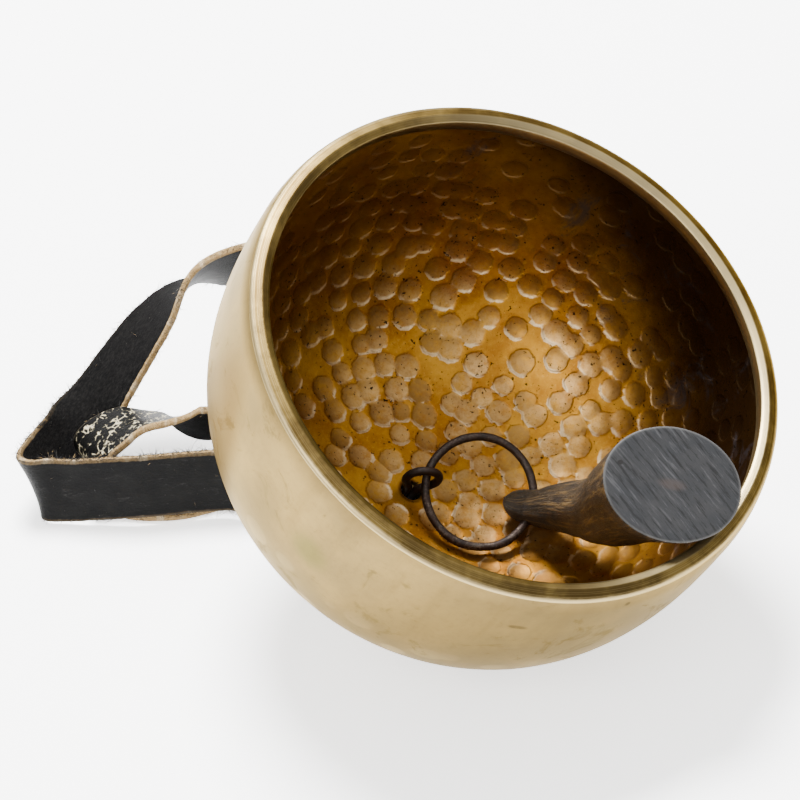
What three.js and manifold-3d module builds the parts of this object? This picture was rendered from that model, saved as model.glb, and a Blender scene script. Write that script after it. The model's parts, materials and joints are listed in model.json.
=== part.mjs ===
// Bell-type singing bowl, lying tilted on its leather hanging strap, with a horn clapper on an iron ring.
// Millimetres, +Z up. The finished group stands on z = 0 with its origin at the middle of its footprint.
import * as THREE from 'three';
import { mergeVertices } from 'three/addons/utils/BufferGeometryUtils.js';
import Module from 'manifold-3d';

// ---- Driving dimensions -------------------------------------------------------------------------

const GAP = 0.3; // clearance kept between touching pieces

// Bowl, in its own frame: outer crown of the base at the origin, mouth towards +z
const RIM_RADIUS = 66; // outer edge of the lip
const BELLY_RADIUS = 66.8;
const BELLY_DROP = 5.4; // widest section, below the rim
const BOWL_HEIGHT = 74.2;
const WALL = 3.1;
const ROUNDNESS = 2.8; // exponent of the superellipse that rounds the side into the base
const LIP_INNER_RADIUS = 61.4;
const LIP_RIDGE_RADIUS = 63.3;
const LIP_RIDGE_RISE = 1;
const LIP_INNER_RISE = 0.3;
const LIP_DEPTH = 7; // height over which the thick lip tapers into the wall
const HOLE_RADIUS = 2.75;

// How the bowl lies: the mouth axis leans from upright towards a heading in the floor plane
const TILT = THREE.MathUtils.degToRad(31.1);
const HEADING = THREE.MathUtils.degToRad(-47.4);
const CROWN_HEIGHT = 15.4; // crown of the base above the floor

// Iron wire: the eye through the base, and the ring that links it to the clapper
const WIRE_RADIUS = 1.05;
const EYE_RADIUS = 4.1; // centre line of the loop
const EYE_CENTRE = new THREE.Vector2(0.6, 9);
const EYE_TURN = THREE.MathUtils.degToRad(10);
const LEG_OFFSET = 1.3; // each leg of the eye from the axis of the hole
const LEG_REACH = 6.5; // clinched leg, outwards from the axis
const RING_RADIUS = 13.6; // centre line of the wire
const RING_CENTRE = new THREE.Vector3(14.9, -0.8, 11.2);
const RING_NORMAL = new THREE.Vector3(-0.1, -0.364, 0.925).normalize();

// Leather strap
const STRAP_WIDTH = 17;
const STRAP_THICKNESS = 1.9;
const LAYER_PITCH = 2.5; // from one layer of leather to the next in the stack under the crown
const STRAP_TAIL = 9; // free end past the hole
const PIN_HOLE_RADIUS = 3;

// Horn clapper
const CROSS_HOLE_RADIUS = 2.2;
const HORN_TIP_RADIUS = 3;
const HORN_END_RADIUS = 13.3; // shorter half-width of the sawn end
const HORN_OVALNESS = 1.26; // longer half-width over the shorter one, at the sawn end

// ---- Solids -------------------------------------------------------------------------------------

const wasm = await Module();
wasm.setup();

function toSolid(geometry) {
  const bare = geometry.clone();
  bare.deleteAttribute('normal');
  bare.deleteAttribute('uv');
  const merged = mergeVertices(bare, 1e-4);
  return new wasm.Manifold(new wasm.Mesh({
    numProp: 3,
    vertProperties: new Float32Array(merged.attributes.position.array),
    triVerts: new Uint32Array(merged.index.array),
  }));
}

function toGeometry(solid) {
  const mesh = solid.getMesh();
  const geometry = new THREE.BufferGeometry();
  geometry.setAttribute('position', new THREE.BufferAttribute(new Float32Array(mesh.vertProperties), 3));
  geometry.setIndex(new THREE.BufferAttribute(new Uint32Array(mesh.triVerts), 1));
  geometry.computeVertexNormals();
  return geometry;
}

function cutRod(geometry, radius, length, centre, direction) {
  const rod = new THREE.CylinderGeometry(radius, radius, length, 20);
  rod.applyQuaternion(new THREE.Quaternion().setFromUnitVectors(new THREE.Vector3(0, 1, 0), direction));
  rod.translate(centre.x, centre.y, centre.z);
  return toGeometry(toSolid(geometry).subtract(toSolid(rod)));
}

function named(name, geometry, material) {
  const mesh = new THREE.Mesh(geometry, material);
  mesh.name = name;
  return mesh;
}

// ---- Materials ----------------------------------------------------------------------------------

const brass = new THREE.MeshStandardMaterial({ color: 0xc4a86f, roughness: 0.35, metalness: 1 });
const iron = new THREE.MeshStandardMaterial({ color: 0x463228, roughness: 0.6, metalness: 0.8 });
const horn = new THREE.MeshStandardMaterial({ color: 0x4d3b22, roughness: 0.55, metalness: 0 });
const leather = new THREE.MeshStandardMaterial({ color: 0x1d1c1b, roughness: 0.7, metalness: 0 });

// ---- Bowl ---------------------------------------------------------------------------------------

// Points of a superellipse quarter, from the widest section down to the axis
function bowlCurve(widest, bottom, steps) {
  const top = BOWL_HEIGHT - BELLY_DROP;
  const points = [];
  for (let i = 0; i <= steps; i += 1) {
    const angle = (i / steps) * (Math.PI / 2);
    const radius = i === steps ? 0 : widest * Math.cos(angle) ** (2 / ROUNDNESS);
    points.push(new THREE.Vector2(radius, top - (top - bottom) * Math.sin(angle) ** (2 / ROUNDNESS)));
  }
  return points;
}

function makeBowl() {
  const steps = 15;
  const outside = bowlCurve(BELLY_RADIUS, 0, steps).reverse();
  const inside = bowlCurve(BELLY_RADIUS - WALL, WALL, steps);
  const lip = [
    new THREE.Vector2(RIM_RADIUS, BOWL_HEIGHT),
    new THREE.Vector2(LIP_RIDGE_RADIUS, BOWL_HEIGHT + LIP_RIDGE_RISE),
    new THREE.Vector2(LIP_INNER_RADIUS, BOWL_HEIGHT + LIP_INNER_RISE),
    new THREE.Vector2(LIP_INNER_RADIUS + 0.4, BOWL_HEIGHT - LIP_DEPTH / 2),
  ];
  const geometry = new THREE.LatheGeometry([...outside, ...lip, ...inside], 48);
  geometry.rotateX(Math.PI / 2);
  const crown = new THREE.Vector3(0, 0, WALL / 2);
  return named('bowl', cutRod(geometry, HOLE_RADIUS, 4 * WALL, crown, new THREE.Vector3(0, 0, 1)), brass);
}

// ---- Strap --------------------------------------------------------------------------------------

// A band swept along its centre line; "across" gives the direction of its width at each point
class BandCurve extends THREE.CatmullRomCurve3 {
  constructor(stations) {
    super(stations.map((station) => station.at));
    this.across = new THREE.CatmullRomCurve3(stations.map((station) => station.across));
  }

  computeFrenetFrames(segments) {
    const tangents = [];
    const normals = [];
    const binormals = [];
    for (let i = 0; i <= segments; i += 1) {
      const t = this.getUtoTmapping(i / segments);
      const tangent = this.getTangent(t);
      const width = this.across.getPoint(t).projectOnPlane(tangent).normalize();
      tangents.push(tangent);
      normals.push(width);
      binormals.push(new THREE.Vector3().crossVectors(tangent, width));
    }
    return { tangents, normals, binormals };
  }
}

function makeBand(stations, steps) {
  const section = new THREE.Shape();
  section.moveTo(-STRAP_WIDTH / 2, -STRAP_THICKNESS / 2);
  section.lineTo(STRAP_WIDTH / 2, -STRAP_THICKNESS / 2);
  section.lineTo(STRAP_WIDTH / 2, STRAP_THICKNESS / 2);
  section.lineTo(-STRAP_WIDTH / 2, STRAP_THICKNESS / 2);
  return new THREE.ExtrudeGeometry(section, { steps, extrudePath: new BandCurve(stations), curveSegments: 1 });
}

const lean = new THREE.Matrix4()
  .makeRotationZ(HEADING)
  .multiply(new THREE.Matrix4().makeRotationY(TILT))
  .multiply(new THREE.Matrix4().makeRotationZ(-HEADING))
  .premultiply(new THREE.Matrix4().makeTranslation(0, 0, CROWN_HEIGHT));

// A station given on the floor, under the crown
function onFloor(x, y, z, across) {
  return { at: new THREE.Vector3(x, y, z), across: new THREE.Vector3(...across).normalize() };
}

// A station in the stack under the crown: distance from the hole, heading in the base plane, layer
function inStack(distance, azimuth, layer, side) {
  const z = -GAP - STRAP_THICKNESS / 2 - layer * LAYER_PITCH;
  const heading = THREE.MathUtils.degToRad(azimuth);
  const at = new THREE.Vector3(distance * Math.cos(heading), distance * Math.sin(heading), z);
  const across = new THREE.Vector3(-Math.sin(heading), Math.cos(heading), 0).multiplyScalar(side);
  return { at: at.applyMatrix4(lean), across: across.transformDirection(lean) };
}

// The large loop: out along the floor on its edge, folded back hard, and up behind the bowl
const outerLoop = [
  inStack(-STRAP_TAIL, 178, 2, 1),
  inStack(0, 178, 2, 1),
  inStack(10, 178, 2, 1),
  inStack(12, 178, 2, 1),
  onFloor(-31, 9.5, 12.6, [0.05, -0.7, -0.7]),
  onFloor(-46, 12, 11.4, [0, -0.1, -1]),
  onFloor(-68, 9.2, 11.4, [0.03, -0.14, -1]),
  onFloor(-85, 10, 9.8, [0.1, -0.16, -0.98]),
  onFloor(-91.3, 11, 9.6, [0.38, -0.24, -0.88]),
  onFloor(-93, 14, 9.4, [0.4, -0.26, -0.87]),
  onFloor(-90.5, 22, 9.4, [0.36, -0.38, -0.85]),
  onFloor(-85.7, 31, 10.4, [0.3, -0.45, -0.84]),
  onFloor(-82, 36, 12.4, [0.5, -0.65, -0.55]),
  onFloor(-77.8, 41, 16.5, [0.66, -0.72, -0.1]),
  onFloor(-65, 51.2, 32, [0.66, -0.66, 0.34]),
  onFloor(-56, 55.6, 40.6, [0.42, -0.62, 0.64]),
  onFloor(-46, 56.4, 45, [0.12, -0.46, 0.87]),
  onFloor(-31, 55, 46.5, [0, -0.1, 1]),
  onFloor(-13, 45, 40, [-0.6, 0, 0.8]),
  onFloor(-2.4, 28.4, 27.5, [-0.93, -0.14, 0.34]),
  inStack(14, 90, 0, 1),
  inStack(12, 90, 0, 1),
  inStack(0, 90, 0, 1),
  inStack(-STRAP_TAIL, 90, 0, 1),
];

// The small loop inside it: flat along the floor, round a soft bend, and back above itself
const innerLoop = [
  inStack(-STRAP_TAIL, 168, 3, 1),
  inStack(0, 168, 3, 1),
  inStack(6, 168, 3, 1),
  inStack(8, 168, 3, 1),
  onFloor(-19.5, 7, 6.6, [0.1, -0.97, -0.22]),
  onFloor(-32, 17.5, 2.6, [0.1, -1, 0]),
  onFloor(-46, 22.5, 1.3, [0.1, -1, 0]),
  onFloor(-60, 18, 1.3, [0, -1, 0]),
  onFloor(-71.5, 19, 1.8, [0.1, -0.97, 0]),
  onFloor(-78, 19.6, 6.4, [0.1, -0.99, 0]),
  onFloor(-79.2, 21.3, 13.4, [0.5, -0.86, 0.1]),
  onFloor(-70, 24.2, 19.7, [0.6, -0.76, 0.25]),
  onFloor(-60.5, 25.6, 20.2, [0.3, -0.84, 0.45]),
  onFloor(-50.5, 26, 18.8, [0, -0.5, 0.87]),
  onFloor(-33, 23.5, 24, [-0.2, -0.7, 0.6]),
  inStack(24, 140, 1, 1),
  inStack(20, 140, 1, 1),
  inStack(0, 140, 1, 1),
  inStack(-STRAP_TAIL, 140, 1, 1),
];

function makeStrap(name, stations, steps) {
  const crown = new THREE.Vector3(0, 0, 0).applyMatrix4(lean);
  const axis = new THREE.Vector3(0, 0, 1).transformDirection(lean);
  const stack = crown.clone().addScaledVector(axis, -5);
  return named(name, cutRod(makeBand(stations, steps), PIN_HOLE_RADIUS, 14, stack, axis), leather);
}

// ---- Wire eye -----------------------------------------------------------------------------------

function wireSection() {
  return new THREE.Shape(new THREE.Path().absarc(0, 0, WIRE_RADIUS, 0, 2 * Math.PI).getPoints(2));
}

function eyePath() {
  const clinch = -4 * LAYER_PITCH - GAP - WIRE_RADIUS;
  const leg = (side) => [
    new THREE.Vector3(side * LEG_REACH, 0, clinch),
    new THREE.Vector3(side * (LEG_OFFSET + 2.2), 0, clinch),
    new THREE.Vector3(side * (LEG_OFFSET + 0.35), 0, clinch + 0.75),
    new THREE.Vector3(side * LEG_OFFSET, 0, clinch + 2.6),
    new THREE.Vector3(side * LEG_OFFSET, 0, -2),
    new THREE.Vector3(side * LEG_OFFSET, 0, WALL + 0.8),
  ];
  const loop = [];
  for (let i = 0; i <= 8; i += 1) {
    const angle = THREE.MathUtils.degToRad(225 - (i / 8) * 270);
    const x = EYE_CENTRE.x + EYE_RADIUS * Math.cos(angle);
    loop.push(new THREE.Vector3(x, 0, EYE_CENTRE.y + EYE_RADIUS * Math.sin(angle)));
  }
  return new THREE.CatmullRomCurve3([...leg(-1), ...loop, ...leg(1).reverse()]);
}

function makeWireEye() {
  const geometry = new THREE.ExtrudeGeometry(wireSection(), { steps: 72, extrudePath: eyePath() });
  geometry.rotateZ(EYE_TURN);
  return named('wire_eye', geometry, iron);
}

// ---- Clapper ------------------------------------------------------------------------------------

function makeRing() {
  const ring = named('clapper_ring', new THREE.TorusGeometry(RING_RADIUS, WIRE_RADIUS, 10, 44), iron);
  ring.quaternion.setFromUnitVectors(new THREE.Vector3(0, 0, 1), RING_NORMAL);
  ring.position.copy(RING_CENTRE);
  return ring;
}

// Where the ring's wire passes through the horn, and its direction there
function ringThroughHorn() {
  const outwards = new THREE.Vector3(13.6, -1.2, 1).projectOnPlane(RING_NORMAL).normalize();
  return {
    point: RING_CENTRE.clone().addScaledVector(outwards, RING_RADIUS),
    direction: new THREE.Vector3().crossVectors(RING_NORMAL, outwards),
  };
}

function makeHorn() {
  const { point, direction } = ringThroughHorn();
  const axis = new THREE.CatmullRomCurve3([
    new THREE.Vector3(21.6, -0.6, 9.6),
    point,
    new THREE.Vector3(33.6, -6.5, 23),
    new THREE.Vector3(37.4, -16.2, 42),
    new THREE.Vector3(37, -22.9, 61),
    new THREE.Vector3(36, -32.5, 83.6),
  ]);
  // Unit profile: rounded tip on the axis, growing width, flat sawn end
  const profile = [new THREE.Vector2(0, 0)];
  for (const share of [0.35, 0.7, 0.94]) {
    profile.push(new THREE.Vector2(share, 0.05 * (1 - Math.sqrt(1 - share * share))));
  }
  const stations = 18;
  for (let i = 1; i <= stations; i += 1) {
    profile.push(new THREE.Vector2(1, 0.05 + (0.95 * i) / stations));
  }
  profile.push(new THREE.Vector2(0, 1));
  const geometry = new THREE.LatheGeometry(profile, 28);
  const position = geometry.attributes.position;
  const place = new THREE.Vector3();
  for (let i = 0; i < position.count; i += 1) {
    place.fromBufferAttribute(position, i);
    const along = place.y;
    const centre = axis.getPointAt(along);
    const tangent = axis.getTangentAt(along);
    const long = new THREE.Vector3(1, 0.05, 0).projectOnPlane(tangent).normalize();
    const short = new THREE.Vector3().crossVectors(tangent, long);
    const radius = HORN_TIP_RADIUS + (HORN_END_RADIUS - HORN_TIP_RADIUS) * along ** 0.8;
    const oval = 1 + (HORN_OVALNESS - 1) * along;
    centre.addScaledVector(long, place.x * radius * oval).addScaledVector(short, -place.z * radius);
    position.setXYZ(i, centre.x, centre.y, centre.z);
  }
  return named('horn_clapper', cutRod(geometry, CROSS_HOLE_RADIUS, 24, point, direction), horn);
}

// ---- Assembly -----------------------------------------------------------------------------------

const bowlGroup = new THREE.Group();
bowlGroup.applyMatrix4(lean);
bowlGroup.add(makeBowl(), makeWireEye(), makeRing(), makeHorn());

const model = new THREE.Group();
model.add(bowlGroup, makeStrap('strap_outer', outerLoop, 150), makeStrap('strap_inner', innerLoop, 90));
model.updateMatrixWorld(true);

const footprint = new THREE.Box3().setFromObject(model, true);
const middle = footprint.getCenter(new THREE.Vector3());
model.position.set(-middle.x, -middle.y, -footprint.min.z);

const assembly = new THREE.Group();
assembly.add(model);

export default assembly;
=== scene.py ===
"""A bell-type singing bowl that lies tilted on the floor, with its strap, eye, ring and horn clapper.

The pieces are made in place, in metres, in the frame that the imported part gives.
"""

import json
import math
import random

import bmesh
import bpy
from mathutils import Matrix, Vector, kdtree, noise


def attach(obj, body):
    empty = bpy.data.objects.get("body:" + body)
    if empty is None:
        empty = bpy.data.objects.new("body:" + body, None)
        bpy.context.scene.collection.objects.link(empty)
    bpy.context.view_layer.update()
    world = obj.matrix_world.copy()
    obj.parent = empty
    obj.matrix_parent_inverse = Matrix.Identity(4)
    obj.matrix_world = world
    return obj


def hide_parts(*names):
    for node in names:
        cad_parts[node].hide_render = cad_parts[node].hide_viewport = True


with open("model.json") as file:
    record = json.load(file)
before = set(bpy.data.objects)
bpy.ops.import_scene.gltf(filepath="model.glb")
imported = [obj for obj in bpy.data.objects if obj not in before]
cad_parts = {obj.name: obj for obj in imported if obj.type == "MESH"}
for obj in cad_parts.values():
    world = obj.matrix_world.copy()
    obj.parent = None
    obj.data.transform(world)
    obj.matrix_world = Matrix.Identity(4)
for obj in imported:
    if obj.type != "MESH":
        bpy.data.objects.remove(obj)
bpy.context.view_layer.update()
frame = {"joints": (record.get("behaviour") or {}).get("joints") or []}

bl_info = {
    "name": "Singing bowl",
    "version": (1, 0, 0),
    "blender": (4, 5, 0),
    "location": "View3D > Sidebar > Singing bowl",
    "description": "Builds a hammered singing bowl with its strap, eye, ring and horn clapper",
    "category": "Add Mesh",
}

MM = 0.001

# ---- The frame ----------------------------------------------------------------------------------

JOINTS = {joint["name"]: joint for joint in frame["joints"]}
CROWN = Vector(JOINTS["suspension_turn"]["pos_m"])  # middle of the base, outside, where the eye goes through
BOWL_AXIS = Vector(JOINTS["suspension_turn"]["axis"]).normalized()  # towards the mouth
LEAN = Vector((0, 0, 1)).rotation_difference(BOWL_AXIS)
BOWL_FRAME = Matrix.Translation(CROWN) @ LEAN.to_matrix().to_4x4()
CROWN_HEIGHT = 15.4 * MM
FLOOR_FRAME = Matrix.Translation(CROWN - Vector((0, 0, CROWN_HEIGHT)))  # floor, under the crown
GAP = 0.3 * MM  # between pieces that lie on each other
WELD = 0.001 * MM  # points nearer than this become one


def mm(x, y, z):
    """A point given in millimetres."""
    return Vector((x, y, z)) * MM


def rgb(red, green, blue):
    """A colour given in the usual 0 to 255, as the linear colour that a shader takes."""
    shares = [value / 255 for value in (red, green, blue)]
    linear = [share / 12.92 if share <= 0.04045 else ((share + 0.055) / 1.055) ** 2.4 for share in shares]
    return (*linear, 1.0)


# ---- Settings -----------------------------------------------------------------------------------


def length(name, description, millimetres):
    """A length property with its default in millimetres."""
    return bpy.props.FloatProperty(
        name=name, description=description, default=millimetres * MM, subtype="DISTANCE", unit="LENGTH",
        precision=5,
    )


def colour(name, description, red, green, blue):
    """A colour property with its default in the usual 0 to 255."""
    return bpy.props.FloatVectorProperty(
        name=name, description=description, default=rgb(red, green, blue), size=4, subtype="COLOR", min=0,
        max=1,
    )


class BowlSettings(bpy.types.PropertyGroup):
    """Sizes and colours of the bowl."""

    rim_radius: length("Rim radius", "Outer edge of the lip", 66)
    belly_radius: length("Belly radius", "Widest section of the wall", 66.8)
    belly_drop: length("Belly drop", "Widest section, below the rim", 5.4)
    height: length("Height", "From the base to the rim", 74.2)
    wall: length("Wall", "Thickness of the wall", 3.1)
    roundness: bpy.props.FloatProperty(
        name="Roundness", description="How squarely the side turns into the base", default=2.8, min=2, max=6
    )
    hole_radius: length("Hole radius", "Bore through the base", 2.75)
    dent_radius: length("Dent radius", "Hammer dents of the inside", 3.25)
    dent_depth: length("Dent depth", "Hammer dents of the inside", 0.3)
    outside_colour: colour("Outside", "Pale brass of the outside", 130, 109, 64)
    patina_colour: colour("Patina", "Amber patina of the inside", 184, 134, 40)
    dent_colour: colour("Dents", "Bare metal in the hammer dents", 204, 168, 112)


class IronSettings(bpy.types.PropertyGroup):
    """Sizes and colours of the wire eye and the ring."""

    wire_radius: length("Wire radius", "Iron wire of the eye and the ring", 1.05)
    eye_radius: length("Eye radius", "Centre line of the eye's loop", 4.1)
    ring_radius: length("Ring radius", "Centre line of the ring", 13.6)
    rust_colour: colour("Rust", "Dark rust of the iron", 44, 27, 18)
    worn_colour: colour("Worn", "Iron rubbed bright", 92, 82, 74)


class HornSettings(bpy.types.PropertyGroup):
    """Sizes and colours of the horn clapper."""

    tip_radius: length("Tip radius", "Near the ring", 3)
    end_radius: length("End radius", "Shorter half-width of the sawn end", 13.3)
    ovalness: bpy.props.FloatProperty(
        name="Ovalness", description="Longer half-width over the shorter, at the sawn end", default=1.26,
        min=1, max=2,
    )
    cross_hole_radius: length("Cross hole radius", "Hole that the ring runs through", 1.9)
    horn_colour: colour("Horn", "Olive brown of the side", 46, 34, 17)
    cut_colour: colour("Sawn face", "Slate grey of the sawn end", 34, 34, 35)


class StrapSettings(bpy.types.PropertyGroup):
    """Sizes and colours of the leather strap."""

    width: length("Width", "Width of the leather", 17)
    thickness: length("Thickness", "Thickness of the leather", 1.9)
    layer_pitch: length("Layer pitch", "From one layer to the next under the bowl", 2.5)
    tail: length("Tail", "Free end past the hole", 9)
    pin_hole_radius: length("Pin hole radius", "Hole for the eye's legs", 2.9)
    fibre_length: length("Fibre length", "Longest loose fibre", 2.6)
    fibre_radius: length("Fibre radius", "Loose fibres, at the root", 0.08)
    grain_colour: colour("Grain", "Black grain side", 4, 4, 4)
    edge_colour: colour("Cut edge", "Raw cut edge", 150, 126, 88)


class StudioSettings(bpy.types.PropertyGroup):
    """The floor, the lights and the camera."""

    floor_colour: colour("Floor", "Plain pale floor", 240, 240, 240)
    floor_glow: bpy.props.FloatProperty(
        name="Floor glow", description="Light of the floor's own, as a lit table has", default=1.7, min=0
    )
    key_power: bpy.props.FloatProperty(
        name="Key light", description="Power of the large soft light", default=80, unit="POWER"
    )
    sky: bpy.props.FloatProperty(
        name="Sky", description="Strength of the light from above", default=1.6, min=0
    )
    horizon: bpy.props.FloatProperty(
        name="Horizon", description="Share of the sky's light at the horizon", default=0.3, min=0, max=1
    )
    elevation: bpy.props.FloatProperty(
        name="Elevation", description="Camera above the horizon", default=math.radians(35), subtype="ANGLE"
    )
    distance: length("Distance", "Camera from the middle of the object", 1000)
    lens: bpy.props.FloatProperty(name="Lens", description="Focal length in millimetres", default=193.86)


# ---- Curves -------------------------------------------------------------------------------------


class Curve:
    """A smooth curve through points, with its speed at each point set by their spacing."""

    SAMPLES = 24  # between two points, when its length is measured

    def __init__(self, points):
        before = points[0] * 2 - points[1]
        after = points[-1] * 2 - points[-2]
        self.points = [before, *points, after]
        self.spans = len(points) - 1
        shares = [i / (self.spans * self.SAMPLES) for i in range(self.spans * self.SAMPLES + 1)]
        places = [self.at(share) for share in shares]
        self.marks = [0.0]
        for a, b in zip(places, places[1:]):
            self.marks.append(self.marks[-1] + (b - a).length)
        self.shares = shares

    def at(self, share):
        """The point at a share of the curve's parameter."""
        span = min(int(share * self.spans), self.spans - 1)
        t = share * self.spans - span
        a, b, c, d = self.points[span : span + 4]
        before, here, after = (math.sqrt((q - p).length) for p, q in ((a, b), (b, c), (c, d)))
        here = here or 1.0
        before = before or here
        after = after or here
        leave = ((b - a) / before - (c - a) / (before + here) + (c - b) / here) * here
        arrive = ((c - b) / here - (d - b) / (here + after) + (d - c) / after) * here
        bend = (c - b) * 3 - leave * 2 - arrive
        turn = (b - c) * 2 + leave + arrive
        return b + leave * t + bend * t * t + turn * t * t * t

    def along(self, share):
        """The parameter at a share of the curve's length."""
        target = share * self.marks[-1]
        low, high = 0, len(self.marks) - 1
        while high - low > 1:
            middle = (low + high) // 2
            if self.marks[middle] < target:
                low = middle
            else:
                high = middle
        part = (target - self.marks[low]) / (self.marks[high] - self.marks[low])
        return self.shares[low] + part * (self.shares[high] - self.shares[low])

    def tangent(self, share):
        """The direction of the curve at a share of its parameter."""
        near = 0.0005
        return (self.at(min(share + near, 1)) - self.at(max(share - near, 0))).normalized()


def placing(place, tangent, across):
    """The matrix that puts a section (across, depth) at a place on a curve."""
    width = (across - tangent * across.dot(tangent)).normalized()
    depth = tangent.cross(width)
    matrix = Matrix((width, depth, tangent)).transposed().to_4x4()
    matrix.translation = place
    return matrix


# ---- Meshes -------------------------------------------------------------------------------------


def new_mesh(*layers):
    """An empty bmesh with the named vector layers."""
    mesh = bmesh.new()
    for layer in layers:
        mesh.verts.layers.float_vector.new(layer)
    return mesh


def only(kind, parts):
    """The parts of one kind, from what a bmesh operator gives back."""
    return [part for part in parts if isinstance(part, kind)]


def sweep(mesh, section, stations):
    """Carries a closed section along its stations. A station is (placing matrix, place along, scale).

    The layer "cut" keeps, in millimetres, where each vertex lies across, along and in the depth of the piece.
    """
    cut = mesh.verts.layers.float_vector["cut"]
    ring = bmesh.ops.create_circle(mesh, cap_ends=False, radius=1, segments=len(section))["verts"]
    for vertex, (across, depth) in zip(ring, section):
        vertex[cut] = (across / MM, 0, depth / MM)
    edges = list({edge for vertex in ring for edge in vertex.link_edges})
    ends = [edges]
    for number, (matrix, along, scale) in enumerate(stations):
        if number:
            grown = bmesh.ops.extrude_edge_only(mesh, edges=edges)["geom"]
            ring = only(bmesh.types.BMVert, grown)
            edges = [edge for edge in only(bmesh.types.BMEdge, grown) if edge.is_boundary]
        for vertex in ring:
            across, _, depth = vertex[cut]
            vertex[cut] = (across, along / MM, depth)
            vertex.co = matrix @ (Vector((across, depth, 0)) * MM * scale)
    ends.append(edges)
    for end in ends:
        bmesh.ops.contextual_create(mesh, geom=end)


def drill(mesh, point, direction, radius, reach):
    """Opens a round hole through the faces around a point, and lines it."""
    direction = direction.normalized()

    def off_axis(place):
        arm = place - point
        return arm - direction * arm.dot(direction)

    def reached(face):
        centre = face.calc_center_median()
        return off_axis(centre).length < radius and abs((centre - point).dot(direction)) < reach

    opened = [face for face in mesh.faces if reached(face)]
    bmesh.ops.delete(mesh, geom=opened, context="FACES")
    rim = [edge for edge in mesh.edges if edge.is_boundary]
    for vertex in {vertex for edge in rim for vertex in edge.verts}:
        arm = off_axis(vertex.co)
        vertex.co += arm.normalized() * (radius - arm.length)
    bmesh.ops.bridge_loops(mesh, edges=rim)


def finished(mesh, name, materials, body, node):
    """The finished mesh as a named piece that rides on a body, and stands for a node if one is given."""
    bmesh.ops.recalc_face_normals(mesh, faces=mesh.faces)
    for face in mesh.faces:
        face.smooth = True
    data = bpy.data.meshes.new(name)
    mesh.to_mesh(data)
    mesh.free()
    for material in materials:
        data.materials.append(material)
    piece = bpy.data.objects.new(name, data)
    bpy.context.scene.collection.objects.link(piece)
    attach(piece, body)
    if node:
        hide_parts(node)


def spun(mesh, parts, steps):
    """Spins the parts of a profile a full turn round the z axis and closes the seam."""
    bmesh.ops.spin(
        mesh, geom=parts, cent=(0, 0, 0), axis=(0, 0, 1), angle=2 * math.pi, steps=steps, use_merge=True
    )
    bmesh.ops.remove_doubles(mesh, verts=mesh.verts, dist=WELD)


def circle(radius, count):
    """A round section."""
    turns = [2 * math.pi * i / count for i in range(count)]
    return [(radius * math.cos(turn), radius * math.sin(turn)) for turn in turns]


def rough(place, scale, amount):
    """A smooth random push at a place, of a wave length of about scale."""
    return noise.noise(place / scale) * amount


# ---- Shaders ------------------------------------------------------------------------------------


class Wire:
    """A number on its way through a shader. Sums written with it add the Math nodes that work them out."""

    def __init__(self, paint, socket):
        self.paint = paint
        self.socket = socket

    def sum(self, operation, *values):
        return self.paint.node("ShaderNodeMath", {"operation": operation}, dict(enumerate(values)))

    def __add__(self, other):
        return self.sum("ADD", self, other)

    def __radd__(self, other):
        return self.sum("ADD", other, self)

    def __sub__(self, other):
        return self.sum("SUBTRACT", self, other)

    def __rsub__(self, other):
        return self.sum("SUBTRACT", other, self)

    def __mul__(self, other):
        return self.sum("MULTIPLY", self, other)

    def __truediv__(self, other):
        return self.sum("DIVIDE", self, other)

    def __pow__(self, other):
        return self.sum("POWER", self, other)


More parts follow.
